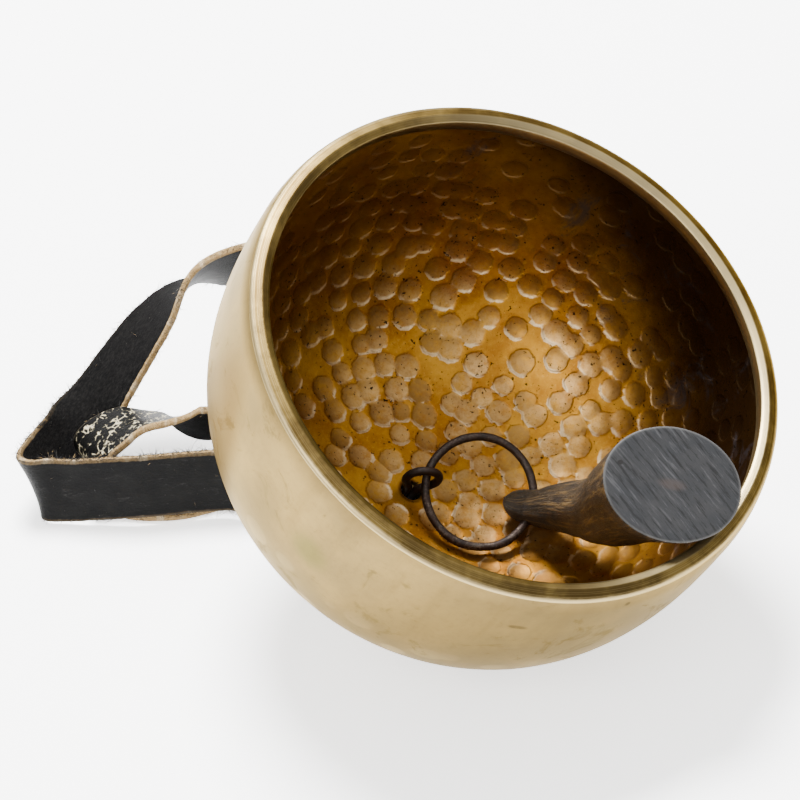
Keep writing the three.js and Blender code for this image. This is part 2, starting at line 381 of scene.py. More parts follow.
class Paint:
    """A procedural material and the nodes that make it."""

    def __init__(self, name):
        self.material = bpy.data.materials.new(name)
        self.material.use_nodes = True
        self.tree = self.material.node_tree
        self.shader = self.tree.nodes["Principled BSDF"]

    def node(self, kind, settings, sockets, output=0):
        """Adds a node, and gives one of its outputs."""
        node = self.tree.nodes.new(kind)
        for name, value in settings.items():
            setattr(node, name, value)
        for name, value in sockets.items():
            self.feed(node.inputs[name], value)
        return Wire(self, node.outputs[output])

    def feed(self, socket, value):
        """Links a wire to a socket, or sets a constant on it."""
        if isinstance(value, Wire):
            self.tree.links.new(value.socket, socket)
        else:
            socket.default_value = value

    def finish(self, **sockets):
        """Feeds the shader: base_color, roughness and so on."""
        for name, value in sockets.items():
            self.feed(self.shader.inputs[name.replace("_", " ").title()], value)
        return self.material

    def edge_tint(self, tint):
        """The colour of the mirror at a glancing angle."""
        self.shader.inputs["Specular Tint"].default_value = tint

    def gloss(self, level):
        """How strongly the surface mirrors, from 0; an ordinary one is 0.5."""
        self.shader.inputs["Specular IOR Level"].default_value = level

    def bowl_place(self):
        """Object coordinates in millimetres, from the crown of the base and with z towards the mouth."""
        place = self.node("ShaderNodeTexCoord", {}, {}, output="Object")
        turn = LEAN.to_euler("XYZ")
        sockets = {"Vector": place, "Location": CROWN, "Rotation": turn, "Scale": (MM, MM, MM)}
        return self.node("ShaderNodeMapping", {"vector_type": "TEXTURE"}, sockets)

    def layer(self, name):
        """A vector kept on the mesh."""
        return self.node("ShaderNodeAttribute", {"attribute_name": name}, {}, output="Vector")

    def parts(self, vector):
        """The x, y and z of a vector."""
        node = self.tree.nodes.new("ShaderNodeSeparateXYZ")
        self.feed(node.inputs[0], vector)
        return [Wire(self, output) for output in node.outputs]

    def vector(self, x, y, z):
        return self.node("ShaderNodeCombineXYZ", {}, {0: x, 1: y, 2: z})

    def noise(self, vector, size, detail=3, share=0.55, distortion=0.0):
        """Cloudy noise with features of about the given size."""
        sockets = {"Vector": vector, "Scale": 1 / size, "Detail": detail}
        sockets |= {"Roughness": share, "Distortion": distortion}
        return self.node("ShaderNodeTexNoise", {}, sockets)

    def cells(self, vector, size, jitter=1.0, feature="F1"):
        """How far a place is from the middle of its cell, or with the other feature from the cell's edge."""
        sockets = {"Vector": vector, "Scale": 1 / size, "Randomness": jitter}
        return self.node("ShaderNodeTexVoronoi", {"feature": feature}, sockets, output="Distance")

    def step(self, value, low, high):
        """0 below low and 1 above high, with a smooth change; the other way round if low is above high."""
        sockets = {"Value": value, "From Min": low, "From Max": high}
        return self.node("ShaderNodeMapRange", {"interpolation_type": "SMOOTHSTEP"}, sockets)

    def mix(self, share, first, second):
        """The first colour with a share of the second over it."""
        sockets = {0: share, 6: first, 7: second}
        return self.node("ShaderNodeMix", {"data_type": "RGBA"}, sockets, output=2)

    def bump(self, height, distance, strength=1.0):
        """A bump whose height is in units of distance, in metres."""
        sockets = {"Height": height, "Distance": distance, "Strength": strength}
        return self.node("ShaderNodeBump", {}, sockets)

    def distance(self, vector, point):
        """How far a place is from a point."""
        sockets = {0: vector, 1: point}
        return self.node("ShaderNodeVectorMath", {"operation": "DISTANCE"}, sockets, output="Value")

    def stretched(self, vector, x, y, z):
        """The vector with each axis multiplied."""
        return self.node("ShaderNodeVectorMath", {"operation": "MULTIPLY"}, {0: vector, 1: (x, y, z)})


# ---- Bowl ---------------------------------------------------------------------------------------


def wall_curve(settings, widest, bottom):
    """Profile of a wall, from its widest section down to the bore, as (radius, height)."""
    top = settings.height - settings.belly_drop
    power = 2 / settings.roundness
    curve = []
    steps = 600
    for i in range(steps + 1):
        angle = (i / steps) ** 1.5 * math.pi / 2
        radius = widest * max(math.cos(angle), 0) ** power
        if radius < settings.hole_radius:
            break
        curve.append((radius, top - (top - bottom) * math.sin(angle) ** power))
    curve.append((settings.hole_radius, bottom))
    return curve


def evenly(curve, spacing):
    """Points along a line about one spacing apart, its two ends included."""
    marks = [0.0]
    for a, b in zip(curve, curve[1:]):
        marks.append(marks[-1] + math.dist(a, b))
    count = max(1, round(marks[-1] / spacing))
    spaced = []
    span = 0
    for i in range(count + 1):
        target = marks[-1] * i / count
        while span < len(marks) - 2 and marks[span + 1] < target:
            span += 1
        share = (target - marks[span]) / (marks[span + 1] - marks[span])
        spaced.append(tuple(a + (b - a) * share for a, b in zip(curve[span], curve[span + 1])))
    return spaced


def shoulder_curve(settings):
    """Profile of the outside from its widest section up to the lip."""
    low = settings.height - settings.belly_drop
    high = settings.height - 0.5 * MM
    draw_in = settings.belly_radius - settings.rim_radius
    shares = (0.2, 0.4, 0.58, 0.74, 0.88, 0.96)
    return [(settings.belly_radius - draw_in * share**2, low + (high - low) * share) for share in shares]


def lip_curve(settings):
    """Profile of the thick lip, from its outer edge over the ridge to the inside."""
    rim = settings.rim_radius
    top = settings.height
    return [
        (rim, top - 0.5 * MM),
        (rim - 0.15 * MM, top - 0.05 * MM),
        (rim - 0.9 * MM, top + 0.3 * MM),
        (rim - 1.9 * MM, top + 0.68 * MM),
        (rim - 2.5 * MM, top + 0.95 * MM),
        (rim - 2.75 * MM, top + 1.0 * MM),
        (rim - 3.0 * MM, top + 0.93 * MM),
        (rim - 3.8 * MM, top + 0.62 * MM),
        (rim - 4.45 * MM, top + 0.36 * MM),
        (rim - 4.62 * MM, top + 0.1 * MM),
        (rim - 4.55 * MM, top - 1.2 * MM),
        (rim - 4.2 * MM, top - 3.5 * MM),
    ]


class Dents:
    """The hammer dents of the inside: rough rows of shallow round marks."""

    ROW_SPACING = 6.1 * MM
    SPACING = 6.8 * MM  # along a row
    MOST_LIFT = 1.7 * MM  # out of its row
    NO_DENT = (2.0, 0.0, 0.5)

    def __init__(self, settings, inside):
        chance = random.Random(11)
        rows = evenly(inside, self.ROW_SPACING)[::-1][1:]  # from the bore outwards
        self.places = []
        for radius, height in rows:
            lowness = 1 - height / settings.height
            kept = min(0.9, 0.12 + 1.5 * lowness)
            count = max(3, round(2 * math.pi * radius / self.SPACING))
            start = chance.uniform(0, 2 * math.pi)
            for i in range(count):
                turn = start + 2 * math.pi * (i + chance.uniform(-0.3, 0.3)) / count
                lift = chance.uniform(-1.0, 1.0) * self.MOST_LIFT
                if chance.random() > kept:
                    continue
                place = Vector((radius * math.cos(turn), radius * math.sin(turn), height + lift * lowness))
                size = settings.dent_radius * chance.uniform(0.86, 1.12)
                self.places.append((place, size, chance.random()))
        self.tree = kdtree.KDTree(len(self.places))
        for number, (place, _, _) in enumerate(self.places):
            self.tree.insert(place, number)
        self.tree.balance()

    def at(self, place, normal, up):
        """(distance over radius, side up the wall, tone) of the dent that covers a place best."""
        best = self.NO_DENT
        for _, number, _ in self.tree.find_n(place, 3):
            centre, size, tone = self.places[number]
            arm = place - centre
            arm -= normal * arm.dot(normal)
            reach = arm.length / size
            if reach < best[0]:
                best = (reach, arm.dot(up) / size, tone)
        return best


def dish(reach):
    """Depth of a dent: 1 at its middle, a little under 0 on its raised rim and 0 past it."""
    rim = 0.06
    if reach < 1:
        return (1 - reach**2.6) * (1 + rim) - rim
    return -rim * math.exp(-((reach - 1) ** 2) / 0.03)


OUTSIDE, LIP, INSIDE = range(3)  # zones of the bowl, in the order of its materials


def bowl_mesh(settings):
    """The bowl as a fine spun profile with its inside hammered."""
    mesh = new_mesh("dent")
    dent = mesh.verts.layers.float_vector["dent"]
    zone = mesh.verts.layers.int.new("zone")
    wall = evenly(wall_curve(settings, settings.belly_radius, 0.0), 2.2 * MM)[::-1]
    inside = evenly(wall_curve(settings, settings.belly_radius - settings.wall, settings.wall), 1.0 * MM)
    verts = []
    curves = {OUTSIDE: wall + shoulder_curve(settings), LIP: lip_curve(settings), INSIDE: inside}
    for number, curve in curves.items():
        for radius, height in curve:
            vertex = mesh.verts.new((radius, 0, height))
            vertex[zone] = number
            vertex[dent] = Dents.NO_DENT
            verts.append(vertex)
    edges = [mesh.edges.new(pair) for pair in zip(verts, verts[1:] + verts[:1])]
    spun(mesh, verts + edges, 440)
    bmesh.ops.recalc_face_normals(mesh, faces=mesh.faces)
    mesh.normal_update()
    dents = Dents(settings, inside)
    pushes = []
    for vertex in mesh.verts:
        if vertex[zone] == INSIDE and vertex.co.z < settings.height - 4 * MM:
            around = Vector((-vertex.co.y, vertex.co.x, 0)).normalized()
            up = around.cross(vertex.normal)
            reach, side, tone = dents.at(vertex.co, vertex.normal, up)
            vertex[dent] = (reach, side, tone)
            depth = dish(reach) * settings.dent_depth - rough(vertex.co, 9 * MM, 0.12 * MM)
            pushes.append((vertex, -vertex.normal * depth))
        elif vertex[zone] == OUTSIDE and vertex.co.length > 4 * MM:
            pushes.append((vertex, vertex.normal * rough(vertex.co, 8 * MM, 0.05 * MM)))
        elif vertex[zone] == LIP:
            out = Vector((vertex.co.x, vertex.co.y, 0)).normalized()
            pushes.append((vertex, out * rough(vertex.co, 8 * MM, 0.08 * MM)))
    for vertex, push in pushes:
        vertex.co += push
    for face in mesh.faces:
        zones = {vertex[zone] for vertex in face.verts}
        lining = OUTSIDE in zones and INSIDE in zones
        face.material_index = OUTSIDE if lining else max(zones)
    bmesh.ops.transform(mesh, matrix=BOWL_FRAME, verts=mesh.verts)
    return mesh


def outside_material(settings):
    """Pale brass, lightly hammered, with stains, a scratch and a pit."""
    paint = Paint("pale_brass_outside")
    paint.edge_tint(rgb(238, 228, 206))
    place = paint.bowl_place()
    x, y, z = paint.parts(place)
    clouds = paint.noise(place, 26, 5)
    fine = paint.noise(place, 1.6, 6, 0.7)
    body = paint.mix(paint.step(clouds, 0.35, 0.68), tuple(settings.outside_colour), rgb(108, 91, 56))
    body = paint.mix(paint.step(fine, 0.45, 0.8) * 0.3, body, rgb(82, 63, 32))
    radius = (x * x + y * y) ** 0.5
    streaks = paint.noise(paint.vector(x / radius * 6.0, y / radius * 6.0, z * 0.012), 1.0, 5, 0.65)
    body = paint.mix(paint.step(streaks, 0.5, 0.7) * 0.3, body, rgb(90, 73, 38))
    facets = paint.cells(place, 11, 0.7)
    low = paint.step(z, 46, 18)
    body = paint.mix(paint.step(facets, 0.42, 0.34) * low * 0.7, body, rgb(172, 152, 108))
    stain = paint.step(paint.noise(place, 14, 6, 0.7, 1.0), 0.56, 0.68)
    body = paint.mix(stain * 0.4, body, rgb(78, 68, 28))
    dark = paint.step(paint.noise(place, 5, 5, 0.75), 0.66, 0.76)
    body = paint.mix(dark * 0.5, body, rgb(58, 46, 24))
    low_left = paint.distance(paint.stretched(place, 1.0, 1.0, 0.35), (-60.0, -18.0, 10.5))
    tarnish = paint.step(low_left + clouds * 6.0, 20, 13)
    body = paint.mix(tarnish * 0.85, body, rgb(84, 62, 22))
    from_scratch = paint.distance(paint.stretched(place, 0.35, 1.0, 1.0), (3.0, -66.1, 61.6))
    scratch = paint.step(from_scratch, 1.1, 0.5)
    body = paint.mix(scratch * fine * 1.2, body, rgb(60, 46, 22))
    pit = paint.step(paint.distance(place, (31.3, -58.5, 71.0)), 1.0, 0.5)
    body = paint.mix(pit * 0.8, body, rgb(44, 32, 16))
    green = paint.step(paint.distance(place, (-38.7, -53.6, 50.7)) + clouds * 8.0, 12, 6)
    body = paint.mix(green * 0.6, body, rgb(84, 82, 40))
    under_lip = paint.step(z, 68, 74)
    body = paint.mix(under_lip * 0.35, body, rgb(96, 78, 44))
    roughness = 0.36 + clouds * 0.12 + stain * 0.15
    height = paint.step(facets, 0.42, 0.2) * low * -0.12 + fine * 0.02
    return paint.finish(
        base_color=body, metallic=1.0, roughness=roughness, normal=paint.bump(height, MM, 0.6)
    )


def lip_material():
    """The lip: fine grooves of the lathe on an olive ground, with a pale outer edge that is partly rubbed
    metal and partly a painted highlight, and a painted highlight on one side of its inner slope.
    """
    paint = Paint("turned_brass_lip")
    paint.edge_tint(rgb(190, 166, 120))
    place = paint.bowl_place()
    x, y, _ = paint.parts(place)
    radius = (x * x + y * y) ** 0.5
    inner = paint.step(radius, 63.5, 63.0)
    wear = paint.noise(place, 18, 5, 0.7)
    ground = paint.mix(paint.step(wear, 0.35, 0.65), rgb(66, 52, 26), rgb(104, 86, 46))
    groove = paint.noise(paint.vector(radius * 4.0, wear * 0.6, 0.0), 1.0, 3, 0.6)
    ground = paint.mix(paint.step(groove, 0.45, 0.7) * 0.4, ground, rgb(140, 122, 84))
    ground = paint.mix(paint.step(groove, 0.45, 0.3) * 0.35, ground, rgb(64, 54, 32))
    # painted highlight: the inner slope of the lip is lightened on one side only, where the light falls on it
    bright = inner * paint.step(x + y * 0.4, -20, 30)
    ground = paint.mix(bright * 0.45, ground, rgb(170, 154, 116))
    # the pale outer edge is partly rubbed metal and partly a painted highlight on the rounded edge
    outer = paint.step(radius + wear * 0.9, 65.5, 66.1)
    ground = paint.mix(outer * 0.7, ground, rgb(176, 156, 112))
    specks = paint.step(paint.noise(place, 1.2, 4, 0.8), 0.66, 0.72)
    ground = paint.mix(specks * 0.5, ground, rgb(50, 38, 20))
    return paint.finish(
        base_color=ground,
        metallic=1.0,
        roughness=0.34 + wear * 0.12,
        normal=paint.bump(groove, 0.05 * MM, 0.6),
    )


def inside_material(settings):
    """Amber patina with bare metal in the dents, soot and specks; a painted pool of light on the lower
    middle, painted shade towards the mouth on one side, and painted shade and highlights in the dents.
    """
    paint = Paint("amber_patina_inside")
    paint.edge_tint(rgb(170, 130, 70))
    place = paint.bowl_place()
    x, _, z = paint.parts(place)
    spread, side, tone = paint.parts(paint.layer("dent"))
    reach = spread + paint.noise(place, 2.4, 4, 0.7) * 0.5 - 0.25
    clouds = paint.noise(place, 17, 6, 0.65)
    grit = paint.noise(place, 1.1, 6, 0.75)
    # painted light: far is 0 in a pool of painted light on the lower middle of the inside and grows away from
    # it; what it darkens is partly the darker patina of the upper wall and partly painted shade
    far = paint.step(paint.distance(place, (12.0, 24.0, 6.0)), 20, 62)
    shaded = paint.step(x * 0.45 + z * 0.8 + clouds * 16.0, 44, 74)
    body = paint.mix(paint.step(clouds, 0.32, 0.66), tuple(settings.patina_colour), rgb(140, 88, 22))
    body = paint.mix(paint.step(grit, 0.5, 0.75) * 0.55, body, rgb(206, 158, 66))
    body = paint.mix(paint.step(grit, 0.44, 0.26) * 0.6, body, rgb(74, 40, 10))
    worn = paint.step(paint.noise(place, 2.6, 5, 0.7), 0.3, 0.6)
    floor_colour = paint.mix(tone, tuple(settings.dent_colour), rgb(128, 98, 56))
    floor_colour = paint.mix(paint.step(grit, 0.56, 0.34) * 0.5, floor_colour, rgb(110, 80, 46))
    # painted shade: the upper half of each dent, up the wall, is darkened
    floor_colour = paint.mix(paint.step(side, -0.5, 0.7) * 0.55, floor_colour, rgb(110, 84, 50))
    # the dents darken away from the pool of painted light too, partly as patina and partly as painted shade
    floor_colour = paint.mix(far * 0.8, floor_colour, rgb(88, 68, 42))
    bare = paint.step(reach, 1.04, 0.78) * (0.25 + worn * 0.5) * (1 - far * 0.45)
    body = paint.mix(bare, body, floor_colour)
    # painted highlight: a pale crescent on the lower rim of each dent
    dent_rim_highlight = paint.step(reach, 0.72, 0.94) * paint.step(reach, 1.12, 1.0) * paint.step(side, -0.3, -0.8)
    body = paint.mix(dent_rim_highlight * (0.85 - far * 0.6), body, rgb(226, 202, 160))
    # darker away from the pool of painted light, partly as patina and partly as painted shade
    body = paint.mix(far * 0.72, body, rgb(70, 42, 12))
    body = paint.mix(shaded * 0.9, body, rgb(22, 13, 6))
    soot = paint.step(paint.noise(place, 11, 6, 0.72, 0.6), 0.54, 0.68) * paint.step(z + x * 0.5, 26, 56)
    body = paint.mix(soot * 0.7, body, rgb(40, 38, 42))
    patches = paint.step(paint.noise(place, 9, 3), 0.4, 0.52)
    specks = paint.step(paint.noise(place, 1.0, 3, 0.6), 0.62, 0.67) * patches
    body = paint.mix(specks * 0.95, body, rgb(12, 8, 5))
    roughness = 0.42 + grit * 0.16 - bare * 0.1 + soot * 0.2
    edge = paint.step(reach, 1.04, 0.86)
    height = edge * -0.16 + grit * 0.05 + paint.noise(place, 3, 4) * 0.1
    return paint.finish(
        base_color=body, metallic=0.85, roughness=roughness, normal=paint.bump(height, MM, 0.8)
    )


# ---- Iron ---------------------------------------------------------------------------------------


def iron_material(name, settings, worn_share):
    """Dark rusty iron wire, rubbed bright in patches, which gather on its low side as a painted sheen."""
    paint = Paint(name)
    place = paint.bowl_place()
    blotches = paint.noise(place, 2.8, 6, 0.7)
    fine = paint.noise(place, 0.5, 4, 0.7)
    body = paint.mix(paint.step(blotches, 0.35, 0.65), tuple(settings.rust_colour), rgb(28, 20, 16))
    body = paint.mix(paint.step(fine, 0.55, 0.7) * 0.5, body, rgb(48, 30, 20))
    patches = paint.step(paint.noise(place, 3.5, 5, 0.75), 0.62 - worn_share * 0.2, 0.74 - worn_share * 0.2)
    _, y, _ = paint.parts(place)
    # painted sheen: the grey patches are worn metal, but gathering them on the low side paints the grey sheen
    # there
    low = paint.step(y, 2, -8)
    rubbed = patches * paint.step(fine, 0.4, 0.6) * (0.35 + low * 0.65)
    body = paint.mix(rubbed, body, tuple(settings.worn_colour))
    return paint.finish(
        base_color=body,
        metallic=0.55 + rubbed * 0.4,
        roughness=0.5 - rubbed * 0.12 + fine * 0.12,
        normal=paint.bump(blotches * 0.3 + fine * 0.12, MM, 0.45),
    )


def eye_curve(settings, straps):
    """Centre line of the wire eye, in its own plane: clinched legs under the leather, a loop above."""
    clinch = -4 * straps.layer_pitch - GAP - settings.wire_radius
    leg_offset = 1.3 * MM
    loop_middle = (0.6 * MM, 9 * MM)

    def leg(side):
        return [
            Vector((side * 6.5 * MM, 0, clinch)),
            Vector((side * 3.5 * MM, 0, clinch)),
            Vector((side * 1.65 * MM, 0, clinch + 0.75 * MM)),
            Vector((side * leg_offset, 0, clinch + 2.6 * MM)),
            Vector((side * leg_offset, 0, -2 * MM)),
            Vector((side * leg_offset, 0, 3.9 * MM)),
        ]

    loop = []
    for i in range(9):
        turn = math.radians(225 - i / 8 * 270)
        out = Vector((math.cos(turn), 0, math.sin(turn))) * settings.eye_radius
        loop.append(out + Vector((loop_middle[0], 0, loop_middle[1])))
    return Curve([*leg(-1), *loop, *leg(1)[::-1]])


def eye_mesh(settings, straps):
    """The wire of the eye, a little uneven and with tapered ends."""
    mesh = new_mesh("cut")
    curve = eye_curve(settings, straps)
    steps = 220
    turned = BOWL_FRAME @ Matrix.Rotation(math.radians(10), 4, "Z")
    stations = []
    for i in range(steps + 1):
        share = curve.along(i / steps)
        matrix = turned @ placing(curve.at(share), curve.tangent(share), Vector((0, 1, 0)))
        end = min(i, steps - i)
        scale = min(1.0, 0.55 + 0.15 * end)
        stations.append((matrix, i / steps * curve.marks[-1], scale))
    sweep(mesh, circle(settings.wire_radius, 20), stations)
    for vertex in mesh.verts:
        vertex.co += (vertex.co - CROWN).normalized() * rough(vertex.co, 2.5 * MM, 0.05 * MM)
    return mesh


RING_CENTRE = mm(14.9, -0.8, 11.2)
RING_NORMAL = Vector((-0.1, -0.364, 0.925)).normalized()


def ring_mesh(settings):
    """The closed ring: a round wire, a little uneven."""
    mesh = new_mesh()
    made = bmesh.ops.create_circle(mesh, cap_ends=False, radius=settings.wire_radius, segments=20)["verts"]
    upright = Matrix.Translation((settings.ring_radius, 0, 0)) @ Matrix.Rotation(math.pi / 2, 4, "X")
    bmesh.ops.transform(mesh, matrix=upright, verts=made)
    spun(mesh, mesh.verts[:] + mesh.edges[:], 200)
    for vertex in mesh.verts:
        out = Vector((vertex.co.x, vertex.co.y, 0)).normalized()
        vertex.co += out * (rough(vertex.co, 9 * MM, 0.25 * MM) + rough(vertex.co, 2 * MM, 0.06 * MM))
    turn = Vector((0, 0, 1)).rotation_difference(RING_NORMAL).to_matrix().to_4x4()
    matrix = BOWL_FRAME @ Matrix.Translation(RING_CENTRE) @ turn
    bmesh.ops.transform(mesh, matrix=matrix, verts=mesh.verts)
    return mesh


# ---- Horn ---------------------------------------------------------------------------------------


def ring_through_horn(iron):
    """Where the ring's wire passes through the horn, and its direction there."""
    out = Vector((13.6, -1.2, 1))
    out = (out - RING_NORMAL * out.dot(RING_NORMAL)).normalized()
    return RING_CENTRE + out * iron.ring_radius, RING_NORMAL.cross(out)


def horn_curve(iron):
    point, _ = ring_through_horn(iron)
    return Curve(
        [
            mm(21.6, -0.6, 9.6),
            point,
            mm(33.6, -6.5, 23),
            mm(37.4, -16.2, 42),
            mm(37, -22.9, 61),
            mm(36, -32.5, 83.6),
        ]
    )


def horn_mesh(settings, iron):
    """The horn: a curved, growing oval with a rounded tip, a sawn end and the cross hole for the ring."""
    mesh = new_mesh("cut")
    curve = horn_curve(iron)
    total = curve.marks[-1]
    tip_length = 0.05  # share of the horn that the rounded tip takes
    steps = 170
    outline = []  # (share of the length, share of the full width)
    for i in range(1, 9):
        turn = i / 8 * math.pi / 2
        outline.append((tip_length * (1 - math.cos(turn)), math.sin(turn)))
    for i in range(1, steps):
        outline.append((tip_length + (1 - tip_length) * i / steps, 1.0))
    outline += [(0.9985, 0.996), (1.0, 0.975)]
    outline += [(1.0, 0.975 - 0.075 * i) for i in range(1, 13)]
    stations = []
    for along, share in outline:
        t = curve.along(along)
        matrix = BOWL_FRAME @ placing(curve.at(t), curve.tangent(t), Vector((1, 0.05, 0)))
        radius = settings.tip_radius + (settings.end_radius - settings.tip_radius) * along**0.8
        oval = 1 + (settings.ovalness - 1) * along
        stretch = Matrix.Diagonal((radius * oval * share / MM, radius * share / MM, 1, 1))
        stations.append((matrix @ stretch, along * total, 1.0))
    sweep(mesh, circle(1 * MM, 96), stations)
    cut = mesh.verts.layers.float_vector["cut"]
    radial = mesh.verts.layers.float_vector.new("face")
    inverse = stations[-1][0].inverted()
    end_share = outline[-1][1]
    for vertex in mesh.verts:
        if vertex[cut].y >= total / MM * 0.9984:
            local = inverse @ vertex.co
            flat = Vector((local.x, local.y, 0)) * end_share / MM
            vertex[radial] = (flat.x, flat.y, 1.0)
    for vertex in mesh.verts:
        if vertex[radial].z < 0.5:
            away = vertex.co - BOWL_FRAME @ curve.at(curve.along(min(vertex[cut].y * MM / total, 1)))
            if away.length > 0:
                angle = math.atan2(vertex[cut].z, vertex[cut].x)
                stripes = noise.noise(Vector((math.cos(angle) * 4, math.sin(angle) * 4, vertex[cut].y / 40)))
                lumps = rough(vertex.co, 5 * MM, 0.16 * MM)
                vertex.co += away.normalized() * (stripes * 0.12 * MM + lumps)
    point, direction = ring_through_horn(iron)
    drill(mesh, BOWL_FRAME @ point, BOWL_FRAME.to_3x3() @ direction, settings.cross_hole_radius, 9 * MM)
    for face in mesh.faces:
        face.material_index = int(all(vertex[radial].z > 0.5 for vertex in face.verts))
    return mesh


def horn_material(settings):
    """Weathered horn: olive brown with long fibres, dark hollows and pale scuffs."""
    paint = Paint("weathered_horn")
    paint.gloss(0.3)
    x, y, z = paint.parts(paint.layer("cut"))
    wrap = paint.vector(x * 11.0, y, z * 11.0)
    place = paint.bowl_place()
    streaks = paint.noise(paint.stretched(wrap, 1.0, 0.07, 1.0), 1.3, 7, 0.75)
    clouds = paint.noise(place, 6, 6, 0.72)
    grain = paint.noise(paint.stretched(wrap, 1.0, 0.3, 1.0), 0.5, 5, 0.75)
    body = paint.mix(paint.step(clouds, 0.35, 0.62), tuple(settings.horn_colour), rgb(20, 14, 8))
    body = paint.mix(paint.step(streaks, 0.5, 0.62) * 0.7, body, rgb(104, 80, 44))
    body = paint.mix(paint.step(streaks, 0.46, 0.34) * 0.85, body, rgb(9, 6, 4))
    scuffs = paint.step(paint.noise(place, 1.5, 6, 0.85, 1.0), 0.6, 0.68) * paint.step(clouds, 0.42, 0.55)
    body = paint.mix(scuffs * 0.7, body, rgb(132, 122, 104))
    body = paint.mix(paint.step(grain, 0.58, 0.7) * 0.5, body, rgb(112, 94, 62))
    return paint.finish(
        base_color=body,
        roughness=0.42 + grain * 0.3,
        normal=paint.bump(streaks * 0.9 + grain * 0.7 + clouds * 0.9, MM, 1.0),
    )


def sawn_material(settings):
    """The sawn face: slate grey with steep saw lines, a warmer core and a paler rim."""
    paint = Paint("sawn_horn_face")
    paint.gloss(0.25)
    place = paint.layer("face")
    x, y, _ = paint.parts(place)
    radius = (x * x + y * y) ** 0.5
    clouds = paint.noise(place, 0.35, 5, 0.65)
    across = x * 0.72 + y * 0.69
    along = x * 0.69 - y * 0.72
    saw = paint.noise(paint.vector(across * 16.0, along * 1.4, 0.0), 1.0, 5, 0.7)
    body = paint.mix(paint.step(clouds, 0.35, 0.65), tuple(settings.cut_colour), rgb(28, 29, 31))
    body = paint.mix(paint.step(saw, 0.48, 0.4) * 0.85, body, rgb(7, 7, 8))
    body = paint.mix(paint.step(saw, 0.55, 0.66) * 0.3, body, rgb(84, 84, 86))
    core = paint.step(paint.distance(paint.stretched(place, 0.6, 1.2, 1.0), (0.0, 0.0, 1.0)), 0.16, 0.05)
    body = paint.mix(core * 0.3, body, rgb(66, 54, 48))
    rim = paint.step(radius, 0.95, 0.98)
    body = paint.mix(rim * 0.5, body, rgb(70, 69, 68))
    pit = paint.step(paint.distance(place, (-0.78, 0.2, 1.0)), 0.05, 0.03)
    body = paint.mix(pit, body, rgb(14, 12, 12))
    return paint.finish(
        base_color=body, roughness=0.55 + clouds * 0.15, normal=paint.bump(saw * 0.22 + clouds * 0.1, MM, 0.8)
    )


# ---- Strap --------------------------------------------------------------------------------------


def on_floor(x, y, z, across):
    """A station of the strap given on the floor, under the crown, in millimetres."""
    return FLOOR_FRAME @ mm(x, y, z), Vector(across).normalized()


def in_stack(distance, azimuth, layer, straps):
    """A station in the stack under the crown: distance from the hole in millimetres, heading and layer."""
    heading = math.radians(azimuth)
    depth = -GAP - straps.thickness / 2 - layer * straps.layer_pitch
    place = Vector((distance * MM * math.cos(heading), distance * MM * math.sin(heading), depth))
    return BOWL_FRAME @ place, LEAN @ Vector((-math.sin(heading), math.cos(heading), 0))


def outer_stations(straps):
    """The large loop: out along the floor on its edge, folded back hard, and up behind the bowl."""
    tail = straps.tail / MM
    return [
        *(in_stack(distance, 178, 2, straps) for distance in (-tail, 0, 10, 12)),
        on_floor(-31, 9.5, 12.6, (0.05, -0.7, -0.7)),
        on_floor(-46, 12, 11.4, (0, -0.1, -1)),
        on_floor(-68, 9.2, 11.4, (0.03, -0.14, -1)),
        on_floor(-85, 10, 9.8, (0.1, -0.16, -0.98)),
        on_floor(-91.3, 11, 9.6, (0.38, -0.24, -0.88)),
        on_floor(-93, 14, 9.4, (0.4, -0.26, -0.87)),
        on_floor(-90.5, 22, 9.4, (0.36, -0.38, -0.85)),
        on_floor(-85.7, 31, 10.4, (0.3, -0.45, -0.84)),
        on_floor(-82, 36, 12.4, (0.5, -0.65, -0.55)),
        on_floor(-77.8, 41, 16.5, (0.66, -0.72, -0.1)),
        on_floor(-65, 51.2, 32, (0.66, -0.66, 0.34)),
        on_floor(-56, 55.6, 40.6, (0.42, -0.62, 0.64)),
        on_floor(-46, 56.4, 45, (0.12, -0.46, 0.87)),
        on_floor(-31, 55, 46.5, (0, -0.1, 1)),
        on_floor(-13, 45, 40, (-0.6, 0, 0.8)),
        on_floor(-2.4, 28.4, 27.5, (-0.93, -0.14, 0.34)),
        *(in_stack(distance, 90, 0, straps) for distance in (14, 12, 0, -tail)),
    ]


def inner_stations(straps):
    """The small loop inside it: flat along the floor, round a soft bend, and back above itself."""
    tail = straps.tail / MM
    return [
        *(in_stack(distance, 168, 3, straps) for distance in (-tail, 0, 6, 8)),
        on_floor(-19.5, 7, 6.6, (0.1, -0.97, -0.22)),
        on_floor(-32, 17.5, 2.6, (0.1, -1, 0)),
        on_floor(-46, 22.5, 1.3, (0.1, -1, 0)),
        on_floor(-60, 18, 1.3, (0, -1, 0)),
        on_floor(-71.5, 19, 1.8, (0.1, -0.97, 0)),
        on_floor(-78, 19.6, 6.4, (0.1, -0.99, 0)),
        on_floor(-79.2, 21.3, 13.4, (0.5, -0.86, 0.1)),
        on_floor(-70, 24.2, 19.7, (0.6, -0.76, 0.25)),
        on_floor(-60.5, 25.6, 20.2, (0.3, -0.84, 0.45)),
        on_floor(-50.5, 26, 18.8, (0, -0.5, 0.87)),
        on_floor(-33, 23.5, 24, (-0.2, -0.7, 0.6)),
        *(in_stack(distance, 140, 1, straps) for distance in (24, 20, 0, -tail)),
    ]


